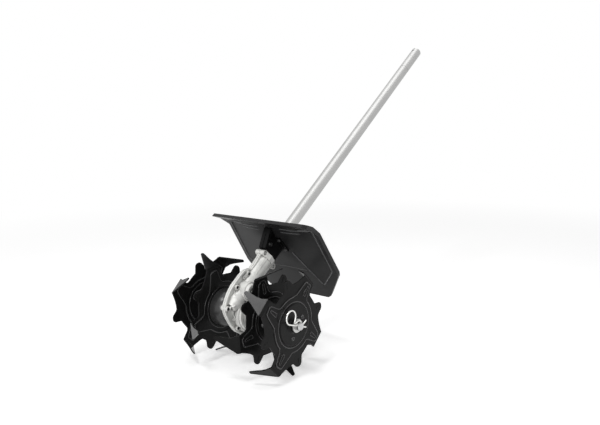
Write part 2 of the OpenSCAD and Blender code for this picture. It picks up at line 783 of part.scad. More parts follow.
// One quarter of a disc's outline, in polar terms from the arm's middle line
function quarter(a) = let (
        back = bend_back * cos(fold_tilt),
        trail = [fold_radius - back + half_fold * sin(fold_tilt), -half_fold * cos(fold_tilt)
            - bend_back * sin(fold_tilt)],
        lead = [fold_radius - back - half_fold * sin(fold_tilt), half_fold * cos(fold_tilt)
            - bend_back * sin(fold_tilt)],
        pts = concat([polar(arm_back_r, -32), polar(arm_back_r + 2, -25),
            polar(arm_back_r + 6.5, -18.5), trail, lead],
            [polar(notch_r + 4, 12.5), polar(notch_r + 0.5, 15), polar(notch_r, 19),
                polar(notch_r + 1, 27), polar(notch_r + 3, 36),
            polar(tooth_radius - 4, 40.2), polar(tooth_radius - 0.8, 42.3), polar(tooth_radius, 45),
                polar(tooth_radius - 0.6, 48.3),
            polar(tooth_radius - 3, 51), polar(tooth_radius - 9, 54.5)]))
    [for (p = pts) [p.x * cos(a) - p.y * sin(a), p.x * sin(a) + p.y * cos(a)]];

module disc_outline() polygon([for (k = [0 : 3]) each quarter(90 * k)]);

// Section of a blade, from the last millimetre of the disc round the fold to the tip
module blade_section() {
    steps = 8;
    function on_arc(r, i) = let (a = blade_bend * i / steps) [r * sin(a), bend_mid_r - r * cos(a)];
    outer = [for (i = [0 : steps]) on_arc(bend_r + tine_thickness, i)];
    inner = [for (i = [steps : -1 : 0]) on_arc(bend_r, i)];
    run = (blade_length - bend_back) * [cos(blade_bend), sin(blade_bend)];
    polygon(concat([[-1, -half_tine]], outer, [outer[steps] + run, inner[0] + run], inner,
        [[-1, half_tine]]));
}

// A blade, its fold along y and its flat face bent towards z
module blade(toward) {
    tip = blade_length - bend_back;
    mirror([0, 0, toward > 0 ? 0 : 1]) translate([-bend_back, 0, 0]) intersection() {
        rotate([90, 0, 0]) translate([0, 0, -half_fold]) linear_extrude(fold_width) blade_section();
        translate([bend_mid_r * sin(blade_bend), 0, bend_mid_r * (1 - cos(blade_bend))])
            rotate([0, -blade_bend, 0])
            translate([0, 0, -60]) linear_extrude(120) polygon([[-60, -half_fold - 6], [-2, -half_fold - 2],
                [tip - 0.5, 9.5], [tip, 11.5], [tip - 0.5, 15], [tip - 3, 16], [tip * 0.45, 13.2],
                    [tip * 0.22, 13.6],
                [tip * 0.08, half_fold - 1], [-2, half_fold + 1.5], [-60, half_fold + 6]]);
    }
}

// The raised dish with the raised face of each arm
module dish_outline() {
    circle(r = dish_radius);
    for (k = [0 : 3]) rotate(90 * k) polygon([[42, -25], [48, -24.5], [83, -9.5], [82.5, 7], [56, 10.5],
        [42, 17]]);
}

// The rib along the middle of each arm and the one on each tooth
module disc_ribs() for (k = [0 : 3]) {
    rotate(90 * k) linear_extrude(emboss + 1.2) polygon([[55, -6.5], [79, -2.2], [79, 3], [56, 2.5]]);
    rotate(90 * k + 45) translate([tooth_radius - 16.5, -1.3, 0]) linear_extrude(1.2) square([11, 2.6]);
}

// A disc lies on z = 0 with its outer face towards z. turns holds each arm's bend, 1 towards z
module tine_disc(turns) {
    difference() {
        union() {
            translate([0, 0, -half_tine]) linear_extrude(tine_thickness) disc_outline();
            translate([0, 0, half_tine - 0.5]) {
                linear_extrude(emboss + 0.5) dish_outline();
                disc_ribs();
            }
            for (k = [0 : 3]) rotate(90 * k) translate([fold_radius, 0, 0]) rotate(fold_tilt)
                blade(turns[k]);
        }
        translate([0, 0, -half_tine - 1]) cylinder(r = disc_bore_r, h = 10);
        translate([0, 0, -half_tine - 1]) cylinder(r1 = dish_radius - 1.2, r2 = dish_radius - 2.2, h = 1
            + emboss);
        for (k = [0 : 2]) rotate(120 * k + 35) translate([rivet_circle_r, 0, -5])
            cylinder(r = rivet_r + running_gap, h = 10);
    }
}

// Stands a disc on the axle: its arms turn from upright towards Y, its outer face towards +X
module stand_disc(x, turn) axle_frame() translate([x, 0, 0]) rotate([-turn, 0, 0]) mirror([1, 0, 0])
    rotate([0, -90, 0]) children();

module outer_tine_right() color([0.12, 0.12, 0.12]) stand_disc(outer_x, outer_turn)
    tine_disc([-1, -1, -1, -1]);
module inner_tine_right() color([0.12, 0.12, 0.12]) stand_disc(inner_x, inner_turn)
    tine_disc([1, -1, 1, -1]);
module outer_tine_left() color([0.12, 0.12, 0.12]) mirror([1, 0, 0]) outer_tine_right();
module inner_tine_left() color([0.12, 0.12, 0.12]) mirror([1, 0, 0]) inner_tine_right();

module hub_bore(x0, x1) difference() {
    x_cylinder(0, 0, axle_r + slip_gap, x0, x1);
    flats(slip_gap);
}

// A sleeve with a round flange that lies on the outer face of a disc
module hub(disc_x, x0, x1, turn) {
    face = disc_x + hub_from_disc;
    axle_frame() difference() {
        union() {
            x_cylinder(0, 0, hub_sleeve_r, x0, x1);
            turned() polygon([[0, face], [hub_flange_r, face],
                [hub_flange_r, face + hub_flange_t - 1.2], [hub_flange_r - 1.2, face + hub_flange_t],
                [hub_flange_r - 3, face + hub_flange_t], [hub_flange_r - 5, face + hub_flange_t - 0.8],
                    [hub_sleeve_r + 4, face + hub_flange_t - 0.8],
                [hub_sleeve_r + 1, face + hub_flange_t + 1.5], [0, face + hub_flange_t + 1.5]]);
        }
        hub_bore(x0 - 1, x1 + 1);
        rivet_places(turn) cylinder(r = rivet_r + running_gap, h = disc_x * 2);
    }
}

// Axis of each rivet, pointing along +x, seen in the axle frame with the disc's turn
module rivet_places(turn) rotate([-turn, 0, 0]) mirror([1, 0, 0]) rotate([0, -90, 0])
    for (k = [0 : 2]) rotate(120 * k + 35) translate([rivet_circle_r, 0, 0]) children();

module inner_hub() hub(inner_x, inner_hub_from, hub_joint - slip_gap, inner_turn);
module outer_hub() hub(outer_x, hub_joint + slip_gap, outer_hub_to, outer_turn);
module inner_hub_right() color([0.15, 0.15, 0.15]) inner_hub();
module inner_hub_left() color([0.15, 0.15, 0.15]) mirror([1, 0, 0]) inner_hub();
module outer_hub_right() color([0.15, 0.15, 0.15]) outer_hub();
module outer_hub_left() color([0.15, 0.15, 0.15]) mirror([1, 0, 0]) outer_hub();

// Tubular rivets through the discs and the flanges, and on the inner discs through the cups
module rivet(x0, x1) difference() {
    union() {
        translate([0, 0, x0]) cylinder(r = rivet_r, h = x1 - x0);
        translate([0, 0, x1]) cylinder(r1 = rivet_head_r, r2 = rivet_head_r - 0.9, h = rivet_head_h);
        translate([0, 0, x0 - rivet_head_h]) cylinder(r1 = rivet_head_r - 0.9, r2 = rivet_head_r, h =
            rivet_head_h);
    }
    translate([0, 0, x1 - 3]) cylinder(r = rivet_hole_r, h = 10);
}

module tine_rivets() {
    top = hub_from_disc + hub_flange_t - 0.8;
    back = half_tine - emboss;
    color([0.2, 0.2, 0.2]) axle_frame() both_sides() {
        rivet_places(outer_turn) rivet(outer_x - back, outer_x + top);
        rivet_places(inner_turn) rivet(inner_x - back - cup_sheet, inner_x + top);
    }
}

// Domed cup that keeps weeds off the oil seal, riveted behind the inner disc
module dust_cup() {
    back = inner_x - half_tine + emboss;
    outer = hub_flange_r - 1;
    arc = [for (a = [0 : 9 : 90]) [cup_mouth_r + (outer - cup_mouth_r) * cos(a), back - 6
        - (cup_depth - 6) * sin(a)]];
    inside = [for (a = [90 : -9 : 0]) [cup_mouth_r + (outer - cup_mouth_r - cup_sheet) * cos(a), back
        - 6 - (cup_depth - 6 - cup_sheet) * sin(a)]];
    axle_frame() difference() {
        turned() polygon(concat([[outer, back]], arc, inside, [[outer - cup_sheet, back - cup_sheet],
            [disc_bore_r, back - cup_sheet], [disc_bore_r, back]]));
        rivet_places(inner_turn) cylinder(r = rivet_r + running_gap, h = inner_x * 2);
    }
}
module dust_cup_right() color([0.2, 0.2, 0.2]) dust_cup();
module dust_cup_left() color([0.2, 0.2, 0.2]) mirror([1, 0, 0]) dust_cup();

module end_washer() axle_frame() difference() {
    x_cylinder(0, 0, end_washer_r, outer_hub_to + 0.2, outer_hub_to + 0.2 + end_washer_t);
    x_cylinder(0, 0, axle_r + slip_gap, outer_hub_to, outer_hub_to + 10);
}
module end_washer_right() color("dimgray") end_washer();
module end_washer_left() color("dimgray") mirror([1, 0, 0]) end_washer();

// Wire bent in the plane of x and y: a list of [length] for straight runs and [radius, angle]
// for bends, to the left when the angle is positive. Each section is kept as [x, y, heading, r]
function along(q, d) = [q[0] + d * cos(q[2]), q[1] + d * sin(q[2]), q[2], wire_r];
function round_bend(q, r, a) = let (side = sign(a), c = [q[0] - side * r * sin(q[2]), q[1]
    + side * r * cos(q[2])], h = q[2] + a)
    [c[0] + side * r * sin(h), c[1] - side * r * cos(h), h, wire_r];
function bends(q, r, a) = let (n = ceil(abs(a) / 12)) [for (i = [1 : n]) round_bend(q, r, a * i / n)];
function wire_path(steps, q, i = 0) = i == len(steps) ? [] :
    let (p = steps[i], new = len(p) == 1 ? [along(q, p[0])] : bends(q, p[0], p[1]))
        concat(new, wire_path(steps, new[len(new) - 1], i + 1));

module wire(steps) {
    m = 16;
    run = wire_path(steps, [0, 0, 0, wire_r]);
    k = len(run) + 2;
    last = run[k - 3];
    end = wire_r * 0.5;
    sections = concat([[0, 0, 0, end], [end, 0, 0, wire_r]], run, [along(last, end) - [0, 0, 0, end]]);
    points = [for (q = sections) for (j = [0 : m - 1]) let (u = q[3] * cos(360 * j / m)) [q[0]
        - u * sin(q[2]), q[1] + u * cos(q[2]), q[3] * sin(360 * j / m)]];
    sides = [for (i = [0 : k - 1]) for (j = [0 : m - 1])
        let (a = i * m + j, b = i * m + (j + 1) % m) each [[a, a + m, b + m], [a, b + m, b]]];
    polyhedron(points, concat(sides, [[for (j = [0 : m - 1]) j], [for (j = [m - 1 : -1 : 0]) k * m + j]]));
}

// Spring clip: a straight leg through the axle, a round loop, and a leg that hugs the axle
module hitch_pin() {
    hug = axle_r + wire_r + 0.15;
    small = 3;
    start = 33;
    d = polar(hug + small, start) - [clip_loop_at, clip_loop_r];
    lean = acos((clip_loop_r + small) / norm(d));
    leave = atan2(d.y, d.x) + 450 - lean;
    axle_frame() translate([clip_x, 0, 0]) rotate([-clip_tilt, 0, 0]) rotate([90, 0, 90])
        translate([clip_point, 0, 0]) mirror([1, 0, 0])
            wire([[clip_point + clip_loop_at], [clip_loop_r, leave], [norm(d) * sin(lean)],
                [small, start + 90 - leave],
                [hug, 180 - 2 * start], [small, -105], [10]]);
}

module hitch_pin_right() color("white") hitch_pin();
module hitch_pin_left() color("white") mirror([1, 0, 0]) hitch_pin();

// Guard

// Right half of the guard's front face, as [x, n, s]
guard_points = [
    [0, visor_n, visor_s], [guard_half_width - 6, visor_n, visor_s],
    [guard_half_width - 1, visor_n + 8, visor_s + 6], [guard_half_width - 3, fold_n - 12, fold_s - 8.8],
    [guard_half_width - 5, fold_n + 16, rim_front], [guard_half_width, side_low_n - 5, low_s],
    [guard_half_width - 2, side_low_n + 4, low_s - 1], [bottom_half + 4, bottom_n - 7, bottom_s],
    [bottom_half - 6, bottom_n, bottom_s], [0, bottom_n, bottom_s],
    [0, fold_n, fold_s], [72, fold_n, fold_s], [guard_half_width - band_in, fold_n + 6, wing_s],
    [guard_half_width - band_in + band, fold_n + 5, rim_front],
    [guard_half_width - band_in + 2 * band, side_low_n - 12, low_s],
    [guard_half_width - band_in + 4, side_low_n - 25, low_s + 1.5],
    [bottom_half - 4, side_low_n + 6, low_s - 4], [bottom_half - 2, bottom_n - 39, bottom_s + 2.5],
    [50, step_n + 2, bottom_s + 4], [51, step_n + 9, bottom_s + 7],
    [0, step_n, bottom_s + 4], [0, step_n + 7, bottom_s + 7], [face_half, face_n, face_s],
    [0, face_n, face_s], [pad_half, pad_n, face_s], [0, pad_n, face_s]];

guard_faces = [
    [0, 1, 2, 3, 11, 10], [3, 4, 13, 12, 11], [4, 5, 14, 13], [5, 6, 14], [6, 7, 17, 14],
    [13, 14, 15, 12], [14, 17, 16, 15], [7, 8, 9, 21, 19, 17], [19, 21, 20, 18], [17, 19, 18],
    [18, 20, 23, 22, 17], [22, 23, 25, 24], [24, 25, 10, 11], [22, 24, 11, 12, 15, 16, 17]];

guard_border = [0, 1, 2, 3, 4, 5, 6, 7, 8, 9];
guard_seam = [21, 20, 23, 25, 10, 0];

function moved(points, d) = [for (p = points) p + d];
function flipped(face) = [for (i = [len(face) - 1 : -1 : 0]) face[i]];
function walls(loop, n) = [for (i = [0 : len(loop) - 2]) each [[loop[i + 1], loop[i], loop[i] + n],
    [loop[i + 1], loop[i] + n, loop[i + 1] + n]]];
function fans(faces) = [for (f = faces) for (i = [1 : len(f) - 2]) [f[0], f[i], f[i + 1]]];

module guard_sheet() {
    n = len(guard_points);
    front = fans(guard_faces);
    back = [for (f = front) flipped(f) + [n, n, n]];
    polyhedron(concat(guard_points, moved(guard_points, [0, 0, guard_thickness])),
        concat(front, back, walls(concat(guard_border, guard_seam), n)));
}

// Turned edge behind the border, and a bead along the visor's front
module guard_rim() {
    loop = [for (i = guard_border) guard_points[i]];
    k = len(loop);
    in = 2.4;
    function inner(i) = let (a = loop[max(i - 1, 0)], b = loop[min(i + 1, k - 1)], t =
        [b.x - a.x, b.y - a.y], u = t / norm(t))
        [i == 0 || i == k - 1 ? 0 : loop[i].x - in * u.y, loop[i].y + in * u.x, loop[i].z];
    inside = [for (i = [0 : k - 1]) inner(i)];
    for (i = [0 : k - 2]) guard_edge_piece(loop[i], loop[i + 1], inside[i], inside[i + 1]);
}

// One stretch of the turned edge, from the face back by the height of the edge
module guard_edge_piece(a, b, c, d) {
    up = [0, 0, guard_thickness + guard_edge];
    foot = [0, 0, guard_thickness - 0.2];
    p = [a + foot, b + foot, d + foot, c + foot, a + up, b + up, d + up, c + up];
    polyhedron(p, [[0, 1, 2], [0, 2, 3], [4, 6, 5], [4, 7, 6], [0, 4, 5], [0, 5, 1], [1, 5, 6],
        [1, 6, 2], [2, 6, 7], [2, 7, 3], [3, 7, 4], [3, 4, 0]]);
}

module guard() {
    color([0.2, 0.2, 0.2]) case_frame() difference() {
        both_sides() {
            guard_sheet();
            guard_rim();
        }
        translate([0, -centre_distance, 0]) cylinder(r = guard_hole_r, h = tube_length);
        guard_screw_holes();
    }
}

// One-piece clamp: a split sleeve round the tube, two ears with a gusset up to the visor's fold,
// and a flange under the guard
module guard_bracket() {
    slope = (fold_s - face_s) / (fold_n - pad_n);
    tip_n = -89;
    tip_s = bracket_top + (tip_n - pad_n) * slope - seat_gap;
    foot_n = -centre_distance - bracket_r - 10;
    color([0.08, 0.08, 0.08]) case_frame() difference() {
        union() {
            translate([0, -centre_distance, bracket_foot])
                cylinder(r = bracket_r, h = bracket_top - bracket_foot);
            translate([0, -centre_distance, bracket_top - collar_t])
                cylinder(r = collar_r, h = collar_t);
            slab(-ear_half, ear_half)
                polygon([[-centre_distance, bracket_foot + 0.5], [foot_n + 1.5, bracket_foot + 0.5],
                [foot_n, bracket_foot + 2], [tip_n, tip_s - 3], [tip_n, tip_s],
                    [pad_n, bracket_top - seat_gap],
                [-centre_distance, bracket_top]]);
            for (n = [-79, -72.5])
                slab(-ear_half - 1.2, ear_half + 1.2)
                translate([n, bracket_bolt_s + 8])
                square([1.6, bracket_top - bracket_bolt_s - 9]);
            translate([0, 0, bracket_top - flange_t]) linear_extrude(flange_t) polygon(flange_corners);
        }
        translate([0, -centre_distance, 0]) cylinder(r = tube_r + seat_gap, h = tube_length);
        translate([-ear_slit / 2, -2 * centre_distance - tube_d, bracket_foot - 1])
            cube([ear_slit, centre_distance + tube_d, bracket_top - bracket_foot - collar_t - 4]);
        x_cylinder(bracket_bolt_n, bracket_bolt_s, bracket_bolt_d / 2 + slip_gap, -2 * ear_half,
            2 * ear_half);
        guard_screw_holes();
    }
}

module guard_screw_holes() {
    for (p = guard_screws_at)
        translate([p.x, p.y, bracket_foot])
        cylinder(d = guard_screw_d + 2 * slip_gap, h = guard_rim_s);
}

module bracket_bolt() {
    color("dimgray") case_frame() translate([ear_half, bracket_bolt_n, bracket_bolt_s])
        x_screw(bracket_bolt_d, 2 * ear_half + 7, 4.6, 3.6);
}

module bracket_nut() {
    color("dimgray") case_frame() translate([-ear_half - 5, bracket_bolt_n, bracket_bolt_s])
        rotate([0, 90, 0]) difference() {
        cylinder(r = 5.6, h = 5, $fn = 6);
        translate([0, 0, -1]) cylinder(r = bracket_bolt_d / 2 + running_gap, h = 7);
    }
}

module guard_screws() {
    color("dimgray") case_frame() for (p = guard_screws_at)
        translate([p.x, p.y, bracket_top - flange_t]) rotate([0, 90, 0])
        x_screw(guard_screw_d, flange_t + guard_thickness + 6, 3.4, 2.2);
}

module guard_nuts() {
    color("dimgray") case_frame() for (p = guard_screws_at)
        translate([p.x, p.y, bracket_top + guard_thickness]) difference() {
        cylinder(r = 3.9, h = 3.4, $fn = 6);
        translate([0, 0, -1]) cylinder(r = guard_screw_d / 2 + running_gap, h = 6);
    }
}

shaft_tube();
drive_shaft();
drive_shaft_bushes();
gear_case_right();
gear_case_left();
case_gasket();
case_screws();
tube_clamp_screws();
grease_plug();
worm();
worm_bearing_outer_rings();
worm_bearing_inner_rings();
worm_bearing_balls();
worm_shaft_seal();
worm_wheel();
axle_key();
thrust_washers();
axle();
axle_bush_right();
axle_bush_left();
oil_seal_right();
oil_seal_left();
dust_cup_right();
dust_cup_left();
inner_hub_right();
inner_hub_left();
outer_hub_right();
outer_hub_left();
inner_tine_right();
inner_tine_left();
outer_tine_right();
outer_tine_left();
tine_rivets();
end_washer_right();
end_washer_left();
hitch_pin_right();
hitch_pin_left();
guard();
guard_bracket();
bracket_bolt();
bracket_nut();
guard_screws();
guard_nuts();
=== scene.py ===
# %% [markdown]
# # A cultivator attachment, dressed for its photograph
#
# The solids come ready made: a shaft tube, a guard, a cast gear case and four stamped tine
# discs, already in metres and in place. This lesson gives them the finishes and the few finer
# shapes that the solids leave out, then lights them plainly and sets up the camera.

import functools
import json
import math

import bpy
import numpy as np
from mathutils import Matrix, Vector
from mathutils.bvhtree import BVHTree


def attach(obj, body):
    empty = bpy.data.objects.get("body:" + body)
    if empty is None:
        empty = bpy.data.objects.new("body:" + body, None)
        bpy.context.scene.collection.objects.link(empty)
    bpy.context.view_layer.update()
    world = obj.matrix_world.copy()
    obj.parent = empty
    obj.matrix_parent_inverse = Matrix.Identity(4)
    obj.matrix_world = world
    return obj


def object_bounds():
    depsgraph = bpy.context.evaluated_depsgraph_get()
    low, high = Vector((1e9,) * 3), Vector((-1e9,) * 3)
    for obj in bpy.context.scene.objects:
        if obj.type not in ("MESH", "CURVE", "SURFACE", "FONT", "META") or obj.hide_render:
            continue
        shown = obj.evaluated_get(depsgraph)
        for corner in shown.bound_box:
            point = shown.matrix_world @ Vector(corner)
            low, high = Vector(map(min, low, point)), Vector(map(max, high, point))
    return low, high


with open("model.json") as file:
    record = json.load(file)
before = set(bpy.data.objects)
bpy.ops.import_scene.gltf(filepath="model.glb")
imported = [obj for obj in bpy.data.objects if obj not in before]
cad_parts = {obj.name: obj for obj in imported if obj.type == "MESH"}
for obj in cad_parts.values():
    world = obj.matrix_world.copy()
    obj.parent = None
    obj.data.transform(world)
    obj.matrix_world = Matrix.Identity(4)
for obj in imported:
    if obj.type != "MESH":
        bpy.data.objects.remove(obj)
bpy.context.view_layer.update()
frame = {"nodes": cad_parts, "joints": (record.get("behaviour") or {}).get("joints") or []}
nodes = frame["nodes"]
print("solids:", len(nodes))

# %% [markdown]
# Everything on this machine sits on two lines. The tube runs up at a fixed angle, and the tine
# axle crosses below it. Later cells place patterns along those lines, so they are worked out
# once here from the frame itself: the drive's joint gives the tube's direction, and the tines'
# joint gives the middle of the axle.

# %% The two main lines
joints = {joint["name"]: joint for joint in frame["joints"]}
axle_at = np.array(joints["tine_spin"]["pos_m"], float)
axle_way = np.array([1.0, 0.0, 0.0])
tube_way = np.array(joints["drive_spin"]["axis"], float)
slope = math.atan2(tube_way[2], tube_way[1])
across = np.array([0.0, math.sin(slope), -math.cos(slope)])
sides = [(1, "right"), (-1, "left")]
print("tube slope:", round(math.degrees(slope), 2), "axle at:", axle_at.round(4))

# %% [markdown]
# A procedural finish starts from the object's own coordinates, so that its pattern stays put
# when the camera moves. Each finish below is a small chain: noise for tone, noise for gloss and
# noise for relief, each at the size the real surface shows. These helpers keep the chains short.

# %% Helpers for single nodes
def new_material(name, color, metallic, roughness):
    """A material with its main shader set, and the shader's node."""
    material = bpy.data.materials.new(name)
    material.use_nodes = True
    shader = material.node_tree.nodes["Principled BSDF"]
    shader.inputs["Base Color"].default_value = (*color, 1.0)
    shader.inputs["Metallic"].default_value = metallic
    shader.inputs["Roughness"].default_value = roughness
    return material, shader


def add(material, kind, **values):
    """A node of that kind, with its inputs set by name."""
    node = material.node_tree.nodes.new(kind)
    for key, value in values.items():
        node.inputs[key.replace("_", " ")].default_value = value
    return node


def link(material, output, socket):
    """Joins a node's output to another node's input."""
    material.node_tree.links.new(output, socket)


# %% Helpers for patterns
def noise(material, scale, detail, stretch=(1.0, 1.0, 1.0), turn=(0.0, 0.0, 0.0)):
    """Noise on object coordinates, drawn out by stretch along axes that are turned by turn."""
    where = add(material, "ShaderNodeTexCoord")
    mapping = add(material, "ShaderNodeMapping", Scale=stretch, Rotation=turn)
    mapping.vector_type = "TEXTURE"
    pattern = add(material, "ShaderNodeTexNoise", Scale=scale, Detail=detail)
    link(material, where.outputs["Object"], mapping.inputs["Vector"])
    link(material, mapping.outputs["Vector"], pattern.inputs["Vector"])
    return pattern.outputs["Fac"]


def ramp(material, value, stops):
    """A colour ramp over value, from two pairs of place and colour."""
    node = add(material, "ShaderNodeValToRGB")
    link(material, value, node.inputs["Fac"])
    for element, (place, color) in zip(node.color_ramp.elements, stops):
        element.position = place
        element.color = (*color, 1.0)
    return node.outputs["Color"]


def spread(material, value, low, high):
    """Maps a value from 0 to 1 to the range from low to high."""
    node = add(material, "ShaderNodeMapRange", To_Min=low, To_Max=high)
    link(material, value, node.inputs["Value"])
    return node.outputs["Result"]


# %% Helpers that give a pattern to the shader
def shaded(color, share):
    """The colour times share, no brighter than white."""
    return tuple(min(part * share, 1.0) for part in color)


def clouded(material, shader, cloud, colors, glosses, edges=(0.3, 0.7)):
    """The cloud goes from one colour to the other between its edges, and between two glosses."""
    color = ramp(material, cloud, list(zip(edges, colors)))
    link(material, color, shader.inputs["Base Color"])
    link(material, spread(material, cloud, *glosses), shader.inputs["Roughness"])


def relief(material, shader, heights, strength):
    """Chains bumps from pairs of height output and depth in metres into the shader's normal."""
    before = None
    for height, depth in heights:
        bump = add(material, "ShaderNodeBump", Strength=strength, Distance=depth)
        link(material, height, bump.inputs["Height"])
        if before is not None:
            link(material, before, bump.inputs["Normal"])
        before = bump.outputs["Normal"]
    link(material, before, shader.inputs["Normal"])


# %% [markdown]
# The guard and its clamp are moulded in black plastic. A single black would look like a hole in
# the picture, so wide clouds vary its tone and gloss a little, and a fine grain breaks up its
# reflections. The narrow ridges get a glossier mix, and a paler tone which is a painted highlight,
# so that they show as thin bright lines.

# %% Black plastic, moulded with a fine grain
def moulded_plastic(name, tone, gloss, shine):
    """Black plastic with a touch of blue, of that tone, roughness and specular level."""
    blue_touch = 1.03
    color = (tone, tone, tone * blue_touch)
    material, shader = new_material(name, color, metallic=0.0, roughness=gloss)
    shader.inputs["Specular IOR Level"].default_value = shine
    grain = noise(material, scale=1400.0, detail=2.0)
    cloud = noise(material, scale=22.0, detail=4.0)
    tones = shaded(color, 0.85), shaded(color, 1.15)
    clouded(material, shader, cloud, tones, (gloss - 0.04, gloss + 0.06), edges=(0.35, 0.65))
    relief(material, shader, [(grain, 0.0001), (cloud, 0.0004)], strength=0.3)
    return material


guard_plastic = moulded_plastic("guard_plastic", tone=0.015, gloss=0.3, shine=0.18)
# A paler copy of the guard's plastic. Its extra tone is a painted highlight along the ridges.
ridge_highlight_plastic = moulded_plastic("ridge_highlight_plastic", tone=0.06, gloss=0.26, shine=0.6)
bracket_plastic = moulded_plastic("bracket_plastic", tone=0.004, gloss=0.28, shine=0.12)

# %% [markdown]
# The tine discs, hubs and cups are steel under a baked black coat. Such a coat is smoother than
# the plastic but has a slight orange peel: noise a few millimetres wide, as relief only.

# %% Black coated steel
def coated_steel(name, tone, gloss, shine):
    """A black coat of that tone, roughness and specular level, with a slight orange peel."""
    color = (tone, tone, tone)
    material, shader = new_material(name, color, metallic=0.0, roughness=gloss)
    shader.inputs["Specular IOR Level"].default_value = shine
    peel = noise(material, scale=520.0, detail=2.0)
    cloud = noise(material, scale=30.0, detail=5.0)
    tones = shaded(color, 0.75), shaded(color, 1.3)
    clouded(material, shader, cloud, tones, (gloss - 0.06, gloss + 0.07))
    relief(material, shader, [(peel, 0.0001), (cloud, 0.0006)], strength=0.3)
    return material


tine_steel = coated_steel("tine_steel", tone=0.009, gloss=0.2, shine=0.08)
hub_steel = coated_steel("hub_steel", tone=0.008, gloss=0.24, shine=0.1)
# The rivets get a paler coat than the discs. This is a painted highlight, so that their heads and
# rolled mouths show as bright rings.
rivet_highlight_steel = coated_steel("rivet_highlight_steel", tone=0.04, gloss=0.22, shine=0.6)
# The dust cups get a paler coat than the discs. This is painted sheen, standing in for light that
# hardly reaches them between the discs.
cup_sheen_steel = coated_steel("cup_sheen_steel", tone=0.03, gloss=0.28, shine=0.45)
# A paler copy of the discs' coat. Its extra tone is a painted highlight along the pressed ridges.
ridge_highlight_steel = coated_steel("ridge_highlight_steel", tone=0.015, gloss=0.17, shine=0.46)

# %% [markdown]
# The gear case is cast aluminium, left as it came from the mould: pale and dull. Its corners get
# painted shade, darker where a point sees little of its surroundings. Painting those corners by
# hand would take long. The Ambient Occlusion node finds them by itself, since it measures how much
# of its surroundings a point sees.

# %% Cast aluminium
def painted_corner_shade(material, color, reach, darkest):
    """The colour with painted shade: darker in corners that see little of their surroundings
    within reach.
    """
    corner = add(material, "ShaderNodeAmbientOcclusion", Distance=reach)
    corner.samples = 8
    shade = ramp(material, corner.outputs["AO"], [(0.2, (darkest,) * 3), (0.85, (1.0,) * 3)])
    product = add(material, "ShaderNodeMix")
    product.data_type = "RGBA"
    product.blend_type = "MULTIPLY"
    # A Mix node has a set of sockets for each kind of data. These numbers are its colours' own.
    share_in, first_in, second_in, color_out = 0, 6, 7, 2
    product.inputs[share_in].default_value = 1.0
    link(material, color, product.inputs[first_in])
    link(material, shade, product.inputs[second_in])
    return product.outputs[color_out]


def cast_metal(name):
    """Bare aluminium with the sand of its mould, wide flow marks and painted shade in its corners.
    """
    material, shader = new_material(name, (0.72, 0.72, 0.695), metallic=0.15, roughness=0.45)
    sand = noise(material, scale=900.0, detail=3.0)
    flow = noise(material, scale=60.0, detail=5.0)
    color = ramp(material, flow, [(0.3, (0.66, 0.66, 0.64)), (0.7, (0.82, 0.82, 0.79))])
    # Painted shade: the colour is darkened in corners where the Ambient Occlusion node sees
    # little.
    corner_shaded = painted_corner_shade(material, color, reach=0.007, darkest=0.22)
    link(material, corner_shaded, shader.inputs["Base Color"])
    link(material, spread(material, flow, 0.36, 0.52), shader.inputs["Roughness"])
    relief(material, shader, [(sand, 0.0002), (flow, 0.0008)], strength=0.4)
    return material


case_metal = cast_metal("case_metal")

# %% [markdown]
# The tube is drawn through a die, which leaves fine lines along it. Noise can be drawn out the
# same way: its coordinates are turned until one axis lies along the tube, then stretched on that
# axis. The lines move only the gloss, because on a satin tube one doesn't see them as relief.

# %% Drawn aluminium, with lines along the tube
def drawn_metal(name):
    """Satin metal whose roughness varies in long thin lines along the tube."""
    material, shader = new_material(name, (0.45, 0.45, 0.445), metallic=1.0, roughness=0.44)
    along_tube = (slope - math.pi / 2, 0.0, 0.0)
    lines = noise(material, scale=350.0, detail=2.0, stretch=(1.0, 1.0, 60.0), turn=along_tube)
    cloud = noise(material, scale=18.0, detail=4.0)
    color = ramp(material, cloud, [(0.3, (0.44, 0.44, 0.435)), (0.7, (0.47, 0.47, 0.465))])
    link(material, color, shader.inputs["Base Color"])
    link(material, spread(material, lines, 0.42, 0.46), shader.inputs["Roughness"])
    return material


tube_metal = drawn_metal("tube_metal")

# %% [markdown]
# Screws, pins, bushes and seals differ mainly in colour, gloss and the size of their grain. One
# function with those as its values serves them all.

# %% Small metals, rubber and nylon
def plain_finish(name, color, metallic, gloss, scale, depth):
    """One grain of that scale moves tone, gloss and a relief of that depth in metres."""
    material, shader = new_material(name, color, metallic, gloss)
    cloud = noise(material, scale, detail=4.0)
    tones = shaded(color, 0.88), shaded(color, 1.1)
    clouded(material, shader, cloud, tones, (gloss - 0.05, gloss + 0.06))
    relief(material, shader, [(cloud, depth)], strength=0.3)
    return material


# Each has its colour, metallic value, roughness, grain scale and grain depth.
small_finishes = {
    "zinc": ((0.5, 0.5, 0.49), 0.9, 0.32, 160.0, 0.0001),
    "dark_screw": ((0.05, 0.05, 0.05), 0.6, 0.3, 200.0, 0.0001),
    "bright_wire": ((0.78, 0.78, 0.76), 0.85, 0.18, 240.0, 0.00005),
    "ground_steel": ((0.5, 0.5, 0.5), 0.95, 0.26, 300.0, 0.00006),
    "bronze": ((0.66, 0.44, 0.2), 0.95, 0.32, 220.0, 0.00008),
    "rubber": ((0.02, 0.02, 0.02), 0.0, 0.6, 400.0, 0.00006),
    "gasket_paper": ((0.1, 0.13, 0.1), 0.0, 0.75, 500.0, 0.0001),
    "nylon": ((0.8, 0.79, 0.74), 0.0, 0.45, 90.0, 0.00008),
}
small = {name: plain_finish(name, *values) for name, values in small_finishes.items()}
print("finishes:", len(bpy.data.materials))

# %% [markdown]
# Real castings and pressings have no knife edges. A solid that came from exact surfaces does,
# and it also shows the flat facets of its round parts. A few modifiers mend both without
# touching the mesh itself: Weld joins its loose triangles, Decimate merges those that lie in one
# plane, Bevel rounds each true edge by a fraction of a millimetre, and Weighted Normal smooths
# the facets while broad faces stay flat.

